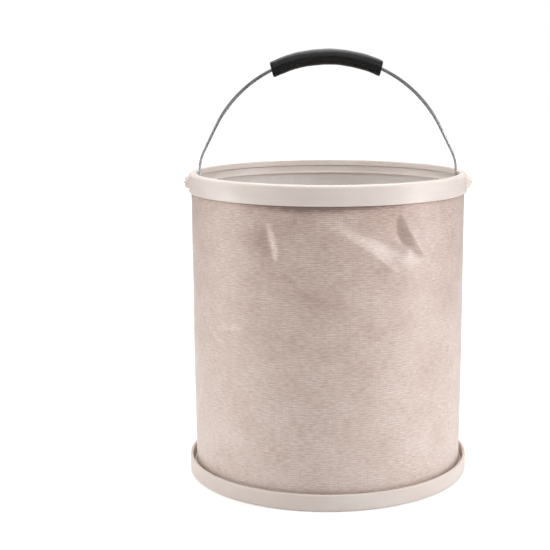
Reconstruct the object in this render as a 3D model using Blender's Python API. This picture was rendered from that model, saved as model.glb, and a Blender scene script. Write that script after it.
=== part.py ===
"""Fold-flat water bucket: a coated cloth wall held between two moulded rings, with a wire bail.

Metres, +Z up. The origin is at the middle of the footprint, on the ground. The bail stands in
the XZ plane, and the side facing -Y is the front.

The rim ring slides straight down onto the base ring as the cloth folds away, and the bail swings
about the X axis through the rim's two bosses until it lies flat inside the rim.
"""
import math

import bmesh
import bpy
from mathutils import Matrix, Vector

# Overall sizes
BUCKET_HEIGHT = 0.2870
RIM_RADIUS = 0.1300
GAP = 0.0003

# Coated cloth
CLOTH_THICKNESS = 0.0008
WALL_SWELL = 0.0009
FOLD_FADE = 0.0160
FOLD_SIZE = 0.0100

# Rim: an inverted channel whose lip, skirt and inner flange are one moulding
RIM_SKIRT_HEIGHT = 0.0177
RIM_SKIRT_THICKNESS = 0.0017
LIP_THICKNESS = 0.0022
LIP_OUTER_ROUND = 0.0030
LIP_INNER_ROUND = 0.0008
FLANGE_DEPTH = 0.0057
FLANGE_THICKNESS = 0.0016

# Hoops that grip the cloth from inside, the same section at the rim and at the base
HOOP_RECESS = 0.0010
HOOP_BEAD_RADIUS = 0.0009
HOOP_BEAD_SETBACK = 0.0002
RIM_HOOP_HEIGHT = 0.0077
BASE_HOOP_HEIGHT = 0.0084
HEM_BEAD_RADIUS = 0.0008

# Base ring: a low rib that backs the cloth, a trench, an outer wall, and the foot under them
BASE_RING_HEIGHT = 0.0157
BASE_TRENCH_WIDTH = 0.0018
BASE_RING_THICKNESS = 0.0028
BASE_FOOT_THICKNESS = 0.0028
BASE_FOOT_WIDTH = 0.0160
BASE_FOOT_ROUND = 0.0022
BASE_TOP_ROUND = 0.0013
BASE_RIB_HEIGHT = 0.0090
BASE_RIB_THICKNESS = 0.0016

# Bail of round steel wire, and its foam grip
PIVOT_DROP = 0.0100
WIRE_RADIUS = 0.0015
ARCH_STEP = 0.0029
ARCH_DROP = 0.0025
SHOULDER_ANGLE = math.radians(27.0)
SHOULDER_BEND = 0.0350
STUB_BEND = 0.0024
STUB_SETBACK = 0.0002
STUB_PROUD = 0.0017
STUB_TAPER = 0.0006
GRIP_RADIUS = 0.0074
GRIP_LENGTH = 0.1045
GRIP_OFFSET = 0.0013
GRIP_PLAY = 0.0005
GRIP_EDGE_ROUND = 0.0008
GRIP_SHEAR = 0.4

# Bosses on the rim that carry the bail
BOSS_ROOT_RADIUS = 0.0068
BOSS_FACE_RADIUS = 0.0054
BOSS_PROUD = 0.0039
BOSS_ROUND = 0.0008
HEM_HOLE_PLAY = 0.0007
DRILL_OVERRUN = 0.0100
TOUCH = 0.0001

# Facets of the round pieces
RING_FACES = 80
CLOTH_FACES = 52
BOSS_FACES = 24
HOLE_FACES = 16
GRIP_FACES = 20
GRIP_STEPS = 12
BEVEL_ROUND = 0.5
ARC_STEP = math.radians(4.5)

# Radii that follow from the sizes above, from the skirt inwards and then out over the base
FLAT_FACTOR = math.cos(math.pi / RING_FACES)
CLOTH_FLAT_FACTOR = math.cos(math.pi / CLOTH_FACES)
SKIRT_INNER = RIM_RADIUS - RIM_SKIRT_THICKNESS
CLOTH_OUTER = SKIRT_INNER * FLAT_FACTOR - GAP
CLOTH_INNER = CLOTH_OUTER - CLOTH_THICKNESS
HOOP_OUTER = CLOTH_INNER - GAP
BEAD_CENTRE_RADIUS = HOOP_OUTER - HEM_BEAD_RADIUS
FLANGE_OUTER = (BEAD_CENTRE_RADIUS - HEM_BEAD_RADIUS) * CLOTH_FLAT_FACTOR - GAP
LIP_INNER = FLANGE_OUTER - FLANGE_THICKNESS
HOOP_INNER = LIP_INNER + HOOP_RECESS
RIB_INNER = (CLOTH_OUTER + GAP) / FLAT_FACTOR
RIB_OUTER = RIB_INNER + BASE_RIB_THICKNESS
BASE_INNER = RIB_OUTER + BASE_TRENCH_WIDTH
BASE_RADIUS = BASE_INNER + BASE_RING_THICKNESS

# Heights that follow, the rim's own below its top face
RIM_HOOP_TOP = -FLANGE_DEPTH - GAP
RIM_HOOP_BOTTOM = RIM_HOOP_TOP - RIM_HOOP_HEIGHT
CLOTH_BOTTOM = BASE_FOOT_THICKNESS + GAP
CLOTH_TOP = BUCKET_HEIGHT - LIP_THICKNESS - GAP
FLOOR_TOP = CLOTH_BOTTOM + CLOTH_THICKNESS
BASE_BEAD_CENTRE = FLOOR_TOP + GAP + HEM_BEAD_RADIUS
BASE_HOOP_BOTTOM = BASE_BEAD_CENTRE + HEM_BEAD_RADIUS + GAP
BASE_HOOP_TOP = BASE_HOOP_BOTTOM + BASE_HOOP_HEIGHT
FREE_CLOTH_TOP = BUCKET_HEIGHT - RIM_SKIRT_HEIGHT
PIVOT_HEIGHT = BUCKET_HEIGHT - PIVOT_DROP

# The bail's lines, measured from its pivot axis. Its arch is drawn in at the shoulders and its
# arc is centred a little below the axis, so that the grip clears the lip and the whole bail lies
# flat inside the rim.
LEG_X = LIP_INNER - STUB_SETBACK - STUB_BEND
BAIL_RADIUS = LEG_X - ARCH_STEP
STUB_END_X = RIM_RADIUS + BOSS_PROUD + STUB_PROUD

# Rows of the cloth wall between its hems, as shares of the free height, close where it is creased
CLOTH_ROWS = (0.19, 0.38, 0.56, 0.69, 0.79, 0.87, 0.94)

# Main folds of the wall, their lengths in units of FOLD_SIZE: bearing from the front, drop below
# the skirt, half width, half length, lean from upright (lower end to the right), and how far the
# cloth stands out (+) or in (-)
WALL_FOLDS = (
    (math.radians(32), 2.9, 0.9, 2.4, math.radians(36), -0.42),
    (math.radians(43), 3.2, 1.2, 2.4, math.radians(36), 0.10),
    (math.radians(15), 2.8, 1.0, 3.2, math.radians(63), -0.34),
    (math.radians(9), 4.6, 1.0, 3.0, math.radians(63), 0.12),
    (math.radians(0), 1.2, 1.2, 4.8, math.radians(88), -0.14),
    (math.radians(-17), 3.0, 0.8, 1.8, math.radians(-6), -0.24),
    (math.radians(-12), 7.4, 1.0, 3.2, math.radians(74), -0.14),
    (math.radians(11), 10.4, 1.0, 2.0, math.radians(72), -0.10),
    (math.radians(-46), 11.6, 1.0, 2.2, math.radians(80), 0.08),
    (math.radians(-98), 1.0, 1.0, 2.8, math.radians(88), -0.10),
    (math.radians(103), 1.0, 1.0, 2.6, math.radians(88), -0.10),
    (math.radians(129), 3.3, 1.0, 3.0, math.radians(59), -0.30),
    (math.radians(160), 1.5, 1.0, 3.2, math.radians(69), -0.12),
    (math.radians(200), 9.0, 1.0, 2.8, math.radians(62), -0.08),
    (math.radians(217), 3.1, 0.9, 2.2, math.radians(-38), -0.32),
)


def clear_scene():
    for old in list(bpy.data.objects):
        bpy.data.objects.remove(old, do_unlink=True)


def material(name, colour, roughness, metallic=0.0):
    """A Principled BSDF with one linear colour."""
    finish = bpy.data.materials.new(name)
    finish.use_nodes = True
    shader = finish.node_tree.nodes["Principled BSDF"]
    shader.inputs["Base Color"].default_value = (*colour, 1.0)
    shader.inputs["Roughness"].default_value = roughness
    shader.inputs["Metallic"].default_value = metallic
    return finish


def add_object(name, mesh, finish=None, parent=None):
    piece = bpy.data.objects.new(name, mesh)
    bpy.context.scene.collection.objects.link(piece)
    if finish:
        mesh.materials.append(finish)
    piece.parent = parent
    return piece


def mesh_from(bm, name, smooth_below=math.radians(32)):
    """Close a bmesh into a mesh with its faces outwards and its round sides smooth."""
    bmesh.ops.recalc_face_normals(bm, faces=bm.faces)
    mesh = bpy.data.meshes.new(name)
    bm.to_mesh(mesh)
    bm.free()
    mesh.shade_smooth()
    mesh.set_sharp_from_angle(angle=smooth_below)
    return mesh


def arc(centre, radius, start, end, steps):
    """Points on a circle in the profile plane, angles from +r towards +z."""
    turns = (start + (end - start) * i / steps for i in range(steps + 1))
    return [(centre[0] + radius * math.cos(t), centre[1] + radius * math.sin(t)) for t in turns]


def turned(name, profile, faces):
    """Spin a closed outline of (radius, height) points about the Z axis into one ring."""
    bm = bmesh.new()
    corners = [bm.verts.new((r, 0.0, z)) for r, z in profile]
    edges = [bm.edges.new((corners[i - 1], corners[i])) for i in range(len(corners))]
    bmesh.ops.spin(bm, geom=corners + edges, cent=(0, 0, 0), axis=(0, 0, 1), dvec=(0, 0, 0),
                   angle=2 * math.pi, steps=faces, use_merge=True)
    return mesh_from(bm, name)


def empty(name, height):
    """A point on a joint's axis that carries the pieces that move with it."""
    pivot = bpy.data.objects.new(name, None)
    pivot.location = (0.0, 0.0, height)
    bpy.context.scene.collection.objects.link(pivot)
    return pivot


def hide_as_guide(piece):
    piece.hide_render = True
    piece.display_type = "WIRE"
    return piece


def combine(piece, tool, operation):
    step = piece.modifiers.new(tool.name, "BOOLEAN")
    step.operation = operation
    step.solver = "EXACT"
    step.object = tool


def cloth_offset(bearing, height):
    """How far the wall's cloth stands off its true cylinder, none inside the rings."""
    span = FREE_CLOTH_TOP - BASE_RING_HEIGHT
    share = (height - BASE_RING_HEIGHT) / span
    if not 0.0 < share < 1.0:
        return 0.0
    offset = WALL_SWELL * math.sin(math.pi * share)
    fade = min(1.0, (FREE_CLOTH_TOP - height) / FOLD_FADE, (height - BASE_RING_HEIGHT) / FOLD_FADE)
    for fold_bearing, drop, half_width, half_length, lean, depth in WALL_FOLDS:
        turn = (bearing - fold_bearing + math.pi) % (2 * math.pi) - math.pi
        side = turn * CLOTH_OUTER
        rise = height - (FREE_CLOTH_TOP - drop * FOLD_SIZE)
        across = side * math.cos(lean) + rise * math.sin(lean)
        along = rise * math.cos(lean) - side * math.sin(lean)
        spread = ((across / half_width) ** 2 + (along / half_length) ** 2) / FOLD_SIZE ** 2
        offset += fade * depth * FOLD_SIZE * math.exp(-spread)
    return offset


def pivot_drill(name, radius):
    """A round cutter along the bail's axis, long enough to pass both walls."""
    bm = bmesh.new()
    turn = Matrix.Translation((0.0, 0.0, PIVOT_HEIGHT)) @ Matrix.Rotation(math.pi / 2, 4, "Y")
    bmesh.ops.create_cone(bm, cap_ends=True, segments=HOLE_FACES, radius1=radius, radius2=radius,
                          depth=2 * (STUB_END_X + DRILL_OVERRUN), matrix=turn)
    return hide_as_guide(add_object(name, mesh_from(bm, name)))


def boss(name, side):
    """One of the two round bosses, turned about the bail's axis and rooted in the skirt."""
    root = RIM_RADIUS - RIM_SKIRT_THICKNESS / 2
    face = RIM_RADIUS + BOSS_PROUD
    profile = [(root, 0.0), (root, BOSS_ROOT_RADIUS)]
    rounding = arc((face - BOSS_ROUND, BOSS_FACE_RADIUS), BOSS_ROUND, math.pi / 2, 0.0, 3)
    profile += rounding + [(face, 0.0)]
    bm = bmesh.new()
    corners = [bm.verts.new((side * x, 0.0, r)) for x, r in profile]
    edges = [bm.edges.new(pair) for pair in zip(corners, corners[1:])]
    bmesh.ops.spin(bm, geom=corners + edges, cent=(0, 0, 0), axis=(1, 0, 0), dvec=(0, 0, 0),
                   angle=2 * math.pi, steps=BOSS_FACES, use_merge=True)
    bmesh.ops.remove_doubles(bm, verts=bm.verts, dist=TOUCH / 10)
    piece = hide_as_guide(add_object(name, mesh_from(bm, name)))
    piece.location = (0.0, 0.0, PIVOT_HEIGHT)
    return piece


def rim_outer_profile():
    """Lip, skirt and inner flange of the rim, as one outline below the rim's top face."""
    edge = RIM_SKIRT_THICKNESS / 2
    flange_edge = FLANGE_THICKNESS / 4
    points = arc((RIM_RADIUS - LIP_OUTER_ROUND, -LIP_OUTER_ROUND), LIP_OUTER_ROUND,
                 0.0, math.pi / 2, 5)
    points += arc((LIP_INNER + LIP_INNER_ROUND, -LIP_INNER_ROUND), LIP_INNER_ROUND,
                  math.pi / 2, math.pi, 2)
    points += [(LIP_INNER, -FLANGE_DEPTH + flange_edge),
               (LIP_INNER + flange_edge, -FLANGE_DEPTH),
               (FLANGE_OUTER, -FLANGE_DEPTH),
               (FLANGE_OUTER, -LIP_THICKNESS),
               (SKIRT_INNER, -LIP_THICKNESS)]
    points += arc((RIM_RADIUS - edge, -RIM_SKIRT_HEIGHT + edge), edge, math.pi, 2 * math.pi, 4)
    return points


def hoop_profile(top, bottom, bead_at_top):
    """A plain hoop with a rounded bead along the edge that shows inside the bucket."""
    bead_r = LIP_INNER + HOOP_BEAD_SETBACK + HOOP_BEAD_RADIUS
    corner = HOOP_BEAD_RADIUS / 2
    if bead_at_top:
        bead = arc((bead_r, top - HOOP_BEAD_RADIUS), HOOP_BEAD_RADIUS,
                   1.25 * math.pi, math.pi / 2, 4)
        return ([(HOOP_OUTER, bottom), (HOOP_INNER, bottom),
                 (HOOP_INNER, top - 3 * HOOP_BEAD_RADIUS)] + bead
                + [(HOOP_OUTER - corner, top), (HOOP_OUTER, top - corner)])
    bead = arc((bead_r, bottom + HOOP_BEAD_RADIUS), HOOP_BEAD_RADIUS,
               0.75 * math.pi, 1.5 * math.pi, 4)
    return ([(HOOP_OUTER, top), (HOOP_INNER, top),
             (HOOP_INNER, bottom + 3 * HOOP_BEAD_RADIUS)] + bead
            + [(HOOP_OUTER - corner, bottom), (HOOP_OUTER, bottom + corner)])


def base_outer_profile():
    """Foot flange, outer wall and the low rib that backs the cloth, in one outline."""
    foot_inner = BASE_RADIUS - BASE_FOOT_WIDTH
    inner_round = BASE_RING_THICKNESS - BASE_TOP_ROUND
    points = [(foot_inner, BASE_FOOT_THICKNESS), (foot_inner, 0.0)]
    points += arc((BASE_RADIUS - BASE_FOOT_ROUND, BASE_FOOT_ROUND), BASE_FOOT_ROUND,
                  1.5 * math.pi, 2 * math.pi, 3)
    points += arc((BASE_RADIUS - BASE_TOP_ROUND, BASE_RING_HEIGHT - BASE_TOP_ROUND),
                  BASE_TOP_ROUND, 0.0, math.pi / 2, 3)
    points += arc((BASE_INNER + inner_round, BASE_RING_HEIGHT - inner_round), inner_round,
                  math.pi / 2, math.pi, 2)[1:]
    points += [(BASE_INNER, BASE_FOOT_THICKNESS), (RIB_OUTER, BASE_FOOT_THICKNESS),
               (RIB_OUTER, BASE_RIB_HEIGHT), (RIB_INNER, BASE_RIB_HEIGHT),
               (RIB_INNER, BASE_FOOT_THICKNESS)]
    return points


def hem_bead(name, centre_height, finish, parent=None):
    """The round bead along a hem, which stops the cloth slipping past its hoop."""
    profile = arc((BEAD_CENTRE_RADIUS, centre_height), HEM_BEAD_RADIUS, 0.0, 2 * math.pi, 6)[:-1]
    return add_object(name, turned(name, profile, CLOTH_FACES), finish, parent)


def wall_panel(finish, drill):
    """The cloth wall: a thin cylinder from hem to hem, then swelled and folded."""
    span = FREE_CLOTH_TOP - BASE_RING_HEIGHT
    rows = [CLOTH_BOTTOM, BASE_RING_HEIGHT]
    rows += [BASE_RING_HEIGHT + span * share for share in CLOTH_ROWS]
    rows += [FREE_CLOTH_TOP, CLOTH_TOP]
    profile = [(CLOTH_OUTER, z) for z in rows] + [(CLOTH_INNER, z) for z in reversed(rows)]
    mesh = turned("wall_panel", profile, CLOTH_FACES)
    for vertex in mesh.vertices:
        bearing = math.atan2(vertex.co.x, -vertex.co.y)
        radius = vertex.co.xy.length
        stretch = (radius + cloth_offset(bearing, vertex.co.z)) / radius
        vertex.co.x *= stretch
        vertex.co.y *= stretch
    piece = add_object("wall_panel", mesh, finish)
    combine(piece, drill, "DIFFERENCE")
    return piece


def floor_panel(finish):
    """The flat cloth floor, held at its edge between the foot flange and the hoop."""
    bm = bmesh.new()
    middle = Matrix.Translation((0.0, 0.0, (CLOTH_BOTTOM + FLOOR_TOP) / 2))
    bmesh.ops.create_cone(bm, cap_ends=True, segments=CLOTH_FACES, radius1=HOOP_OUTER,
                          radius2=HOOP_OUTER, depth=CLOTH_THICKNESS, matrix=middle)
    return add_object("floor_panel", mesh_from(bm, "floor_panel"), finish)


def bail_route():
    """Centre line of the wire from its right end to the top of the arc, in the XZ plane."""
    shoulder = Vector((BAIL_RADIUS * math.cos(SHOULDER_ANGLE),
                       BAIL_RADIUS * math.sin(SHOULDER_ANGLE) - ARCH_DROP))
    slope = Vector((math.sin(SHOULDER_ANGLE), -math.cos(SHOULDER_ANGLE)))
    corner = shoulder + slope * ((LEG_X - shoulder.x) / slope.x)
    set_back = SHOULDER_BEND * math.tan(SHOULDER_ANGLE / 2)
    route = [(STUB_END_X, 0.0), (STUB_END_X - STUB_TAPER, 0.0)]
    route += arc((LEG_X + STUB_BEND, STUB_BEND), STUB_BEND, 1.5 * math.pi, math.pi, 4)
    route += arc((LEG_X - SHOULDER_BEND, corner.y - set_back), SHOULDER_BEND,
                 0.0, SHOULDER_ANGLE, 4)
    steps = round((math.pi / 2 - SHOULDER_ANGLE) / ARC_STEP)
    route += arc((0.0, -ARCH_DROP), BAIL_RADIUS, SHOULDER_ANGLE, math.pi / 2, steps)
    return route


def bail_wire(finish, pivot):
    """Round wire bent to a flat arch, its ends turned outwards through the bosses."""
    right = bail_route()
    left = [(-x, z) for x, z in reversed(right[:-1])]
    route = right + left
    curve = bpy.data.curves.new("bail_wire", "CURVE")
    curve.dimensions = "3D"
    curve.bevel_depth = WIRE_RADIUS
    curve.bevel_resolution = 3
    curve.use_fill_caps = True
    line = curve.splines.new("POLY")
    line.points.add(len(route) - 1)
    for point, (x, z) in zip(line.points, route):
        point.co = (x, 0.0, z, 1.0)
    end_share = 1.0 - STUB_TAPER / WIRE_RADIUS
    line.points[0].radius = end_share
    line.points[-1].radius = end_share
    return add_object("bail_wire", curve, finish, pivot)


def bail_grip(finish, pivot):
    """Foam sleeve bent along the wire's arc: a flat ring spun about the arc's centre."""
    half_turn = GRIP_LENGTH / 2 / BAIL_RADIUS
    shift = GRIP_OFFSET / BAIL_RADIUS
    bm = bmesh.new()
    outline, bore = [], []
    for circle, radius in ((outline, GRIP_RADIUS), (bore, WIRE_RADIUS + GRIP_PLAY)):
        for i in range(GRIP_FACES):
            turn = 2 * math.pi * i / GRIP_FACES
            height = BAIL_RADIUS + radius * math.cos(turn)
            circle.append(bm.verts.new((0.0, radius * math.sin(turn), height)))
    faces = [bm.faces.new((outline[i - 1], outline[i], bore[i], bore[i - 1]))
             for i in range(GRIP_FACES)]
    start = Matrix.Rotation(-half_turn - shift, 3, "Y")
    bmesh.ops.rotate(bm, verts=bm.verts, matrix=start)
    bmesh.ops.spin(bm, geom=outline + bore + list(bm.edges) + faces, cent=(0, 0, 0),
                   axis=(0, 1, 0), dvec=(0, 0, 0), angle=2 * half_turn, steps=GRIP_STEPS)
    rims = [edge for edge in bm.edges if is_outer_end(edge)]
    bmesh.ops.bevel(bm, geom=rims, offset=GRIP_EDGE_ROUND, offset_type="OFFSET",
                    segments=2, profile=BEVEL_ROUND, affect="EDGES")
    lean_ends(bm, -shift)
    bmesh.ops.translate(bm, verts=bm.verts, vec=(0.0, 0.0, -ARCH_DROP))
    return add_object("bail_grip", mesh_from(bm, "bail_grip"), finish, pivot)


def lean_ends(bm, middle):
    """Shear the sleeve as a bent foam tube does: its outer side stretches less than the arc asks
    and its inner side shortens less, so that its ends stand steeper than square to the wire."""
    for vertex in bm.verts:
        reach = math.hypot(vertex.co.x, vertex.co.z)
        turn = math.atan2(vertex.co.x, vertex.co.z) - middle
        turn = middle + turn * (1.0 - GRIP_SHEAR * (reach - BAIL_RADIUS) / BAIL_RADIUS)
        vertex.co.x = reach * math.sin(turn)
        vertex.co.z = reach * math.cos(turn)


def is_outer_end(edge):
    """True for an edge round the outside of either end of the grip."""
    for vertex in edge.verts:
        reach = math.hypot(vertex.co.x, vertex.co.z)
        along = abs(math.atan2(vertex.co.x, vertex.co.z) * BAIL_RADIUS + GRIP_OFFSET)
        off_wire = math.hypot(reach - BAIL_RADIUS, vertex.co.y)
        if along < GRIP_LENGTH / 2 - TOUCH or off_wire < GRIP_RADIUS - TOUCH:
            return False
    return True


def build():
    clear_scene()
    ivory = material("ivory_polypropylene", (0.84, 0.79, 0.72), 0.38)
    cloth = material("coated_canvas", (0.74, 0.66, 0.61), 0.62)
    piping = material("white_piping", (0.80, 0.78, 0.74), 0.55)
    steel = material("bright_steel_wire", (0.56, 0.56, 0.57), 0.24, 1.0)
    foam = material("black_foam", (0.012, 0.011, 0.011), 0.72)

    rim_slide = empty("rim_slide", BUCKET_HEIGHT)
    bail_pivot = empty("bail_pivot", PIVOT_HEIGHT)
    wire_drill = pivot_drill("wire_drill", WIRE_RADIUS + GAP)
    hem_drill = pivot_drill("hem_drill", WIRE_RADIUS + HEM_HOLE_PLAY)

    rim = add_object("rim_outer_ring", turned("rim_outer_ring", rim_outer_profile(), RING_FACES),
                     ivory, rim_slide)
    combine(rim, boss("right_boss", 1), "UNION")
    combine(rim, boss("left_boss", -1), "UNION")
    combine(rim, wire_drill, "DIFFERENCE")

    rim_hoop_line = hoop_profile(RIM_HOOP_TOP, RIM_HOOP_BOTTOM, bead_at_top=False)
    rim_hoop = add_object("rim_clamp_hoop", turned("rim_clamp_hoop", rim_hoop_line, CLOTH_FACES),
                          ivory, rim_slide)
    combine(rim_hoop, hem_drill, "DIFFERENCE")
    hem_bead("rim_hem_bead", RIM_HOOP_TOP + GAP + HEM_BEAD_RADIUS, piping, rim_slide)

    add_object("base_outer_ring", turned("base_outer_ring", base_outer_profile(), RING_FACES),
               ivory)
    base_hoop_line = hoop_profile(BASE_HOOP_TOP, BASE_HOOP_BOTTOM, bead_at_top=True)
    add_object("base_clamp_hoop", turned("base_clamp_hoop", base_hoop_line, CLOTH_FACES), ivory)
    hem_bead("base_hem_bead", BASE_BEAD_CENTRE, piping)
    wall_panel(cloth, hem_drill)
    floor_panel(cloth)

    bail_wire(steel, bail_pivot)
    bail_grip(foam, bail_pivot)


build()
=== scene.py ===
import math

import bpy
import numpy as np
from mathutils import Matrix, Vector


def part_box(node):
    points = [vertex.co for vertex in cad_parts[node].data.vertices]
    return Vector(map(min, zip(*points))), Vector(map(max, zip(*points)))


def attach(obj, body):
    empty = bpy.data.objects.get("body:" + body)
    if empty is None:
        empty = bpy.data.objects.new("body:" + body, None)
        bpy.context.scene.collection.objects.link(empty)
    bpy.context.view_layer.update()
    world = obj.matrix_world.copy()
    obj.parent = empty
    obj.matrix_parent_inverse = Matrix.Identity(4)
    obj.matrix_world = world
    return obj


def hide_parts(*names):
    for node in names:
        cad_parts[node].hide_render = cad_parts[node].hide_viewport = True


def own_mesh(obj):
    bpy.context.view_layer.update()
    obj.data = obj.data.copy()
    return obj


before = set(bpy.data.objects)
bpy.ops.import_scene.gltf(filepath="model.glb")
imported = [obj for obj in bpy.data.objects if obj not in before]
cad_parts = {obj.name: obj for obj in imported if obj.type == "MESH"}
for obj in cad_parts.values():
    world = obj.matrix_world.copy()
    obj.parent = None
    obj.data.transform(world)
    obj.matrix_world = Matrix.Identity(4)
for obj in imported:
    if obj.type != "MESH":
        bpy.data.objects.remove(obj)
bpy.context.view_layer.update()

# Sizes taken from the parts in model.glb, in metres

RIM_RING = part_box("rim_outer_ring")
RIM_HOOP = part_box("rim_clamp_hoop")
BASE_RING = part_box("base_outer_ring")
BASE_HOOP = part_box("base_clamp_hoop")
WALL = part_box("wall_panel")
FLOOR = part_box("floor_panel")
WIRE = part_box("bail_wire")

RIM_TOP = RIM_RING[1].z
RIM_SKIRT_END = RIM_RING[0].z
RIM_R = RIM_RING[1].y
BASE_R = BASE_RING[1].y
BASE_TOP = BASE_RING[1].z
HOOP_R = RIM_HOOP[1].y
WALL_BOTTOM = WALL[0].z
WALL_TOP = WALL[1].z
WIRE_END = WIRE[1].x

# Sizes of the rings and the wire, in metres, and the number of faces round a ring

ROUND_FACES = 224
FLANGE_IN = 0.1230
FLANGE_THICK = 0.0016
PIVOT = RIM_TOP - 0.0100
WIRE_R = 0.0015
BOSS_BORE_R = WIRE_R + 0.0003
WIRE_HOLE_R = WIRE_R + 0.0007

# Sizes of the bail, in metres. The shoulder, in degrees from level, is where the arch ends.

ARCH_CENTRE = PIVOT - 0.0025
ARCH_R = WIRE[1].z - WIRE_R - ARCH_CENTRE
SHOULDER = 27
SHOULDER_BEND = 0.0350
STUB_BEND = 0.0024
LEG_OUT = 0.0029
GRIP_R = 0.0074
GRIP_LENGTH = 0.1045
GRIP_SHIFT = -0.0013
GRIP_SHEAR = 0.4

# Sizes of the cloth, in metres, and how finely it is divided. The wall and its upper hem meet
# just above the lower edge of the rim's hoop, and the seam's bearing is counted from the front.

CLOTH = 0.0008
CLOTH_GAP = 0.0003
CLOTH_R = HOOP_R + CLOTH_GAP + CLOTH
HEM_JOINT = RIM_HOOP[0].z + 0.0005
HEM_GAP = 0.00015
SEAM_BEARING = math.radians(196)
SEAM_LAP = 0.012
LAP_OFFSET = 0.00028
WALL_COLUMNS = 318
WALL_ROWS = 142
HEM_COLUMNS = 160
HEM_ROWS = 6
FLOOR_RINGS = 30


# Finishes

def srgb(code):
    """A hex colour as it is seen, turned into the linear one that shaders mix."""
    channels = [int(code[i:i + 2], 16) / 255 for i in (1, 3, 5)]
    return (*[c / 12.92 if c <= 0.04045 else ((c + 0.055) / 1.055) ** 2.4 for c in channels], 1)


def finish_named(name):
    """A new finish, with its node tree and its main shader."""
    finish = bpy.data.materials.new(name)
    finish.use_nodes = True
    return finish, finish.node_tree, finish.node_tree.nodes["Principled BSDF"]


def fill(tree, node, sockets):
    """Gives sockets of a node a value each, or a link from another node's output. A dict names
    the sockets, and a list takes them in their order."""
    pairs = sockets.items() if isinstance(sockets, dict) else enumerate(sockets)
    for socket, value in pairs:
        if isinstance(value, bpy.types.NodeSocket):
            tree.links.new(value, node.inputs[socket])
        else:
            node.inputs[socket].default_value = value


def add_node(tree, kind, sockets=(), stops=(), **settings):
    """Adds one node with its own settings, fills its sockets and, on a ramp, sets the colour
    stops, each a position and a hex colour. Gives back the node's outputs."""
    node = tree.nodes.new(kind)
    for name, value in settings.items():
        setattr(node, name, value)
    if stops:
        ramp = node.color_ramp.elements
        for end in (0, -1):
            ramp[end].position, ramp[end].color = stops[end][0], srgb(stops[end][1])
        for position, code in stops[1:-1]:
            ramp.new(position).color = srgb(code)
    fill(tree, node, sockets)
    return node.outputs


def moulded_ivory():
    """Injection-moulded ivory polypropylene: satin, faintly waxy, with flow mottling, a fine
    spark-eroded grain from the tool and light scuffs from being stacked."""
    finish, tree, shader = finish_named("ivory_moulded_polypropylene")
    here = add_node(tree, "ShaderNodeTexCoord")["Object"]
    # The plastic's flow left clouds some 45 mm long and 17 mm high.
    flow = add_node(tree, "ShaderNodeMapping", {"Vector": here, "Scale": (22, 22, 60)})[0]
    flow = add_node(tree, "ShaderNodeTexNoise",
                    {"Vector": flow, "Scale": 1.0, "Detail": 4.0, "Roughness": 0.55})["Fac"]
    tone = add_node(tree, "ShaderNodeValToRGB", [flow],
                    stops=[(0.30, "#e9ddd6"), (0.52, "#ede2db"), (0.72, "#f0e8e2")])["Color"]
    # Tool grain is about 0.1 mm, drawn at 0.7 mm so that it shows.
    grain = add_node(tree, "ShaderNodeMapping", {"Vector": here, "Scale": (1400, 1400, 1400)})[0]
    grain = add_node(tree, "ShaderNodeTexNoise", {"Vector": grain, "Scale": 1.0, "Detail": 2.0})["Fac"]
    # Scuffs are about 1 mm high and 11 mm long, and lie round the rings.
    scuffs = add_node(tree, "ShaderNodeMapping", {"Vector": here, "Scale": (90, 90, 900)})[0]
    scuffs = add_node(tree, "ShaderNodeTexNoise",
                      {"Vector": scuffs, "Scale": 1.0, "Detail": 5.0, "Roughness": 0.7})["Fac"]
    dullness = add_node(tree, "ShaderNodeMapRange", [scuffs, 0.35, 0.75, 0.30, 0.46])["Result"]
    relief = add_node(tree, "ShaderNodeMath", [scuffs, 0.6, grain], operation="MULTIPLY_ADD")[0]
    bumps = add_node(tree, "ShaderNodeBump", {"Height": relief, "Strength": 0.10, "Distance": 0.0004})[0]
    fill(tree, shader, {"Base Color": tone, "Roughness": dullness, "Normal": bumps, "IOR": 1.49,
                        "Subsurface Weight": 0.12, "Subsurface Radius": (0.004, 0.003, 0.0024),
                        "Subsurface Scale": 0.6})
    return finish


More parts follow.
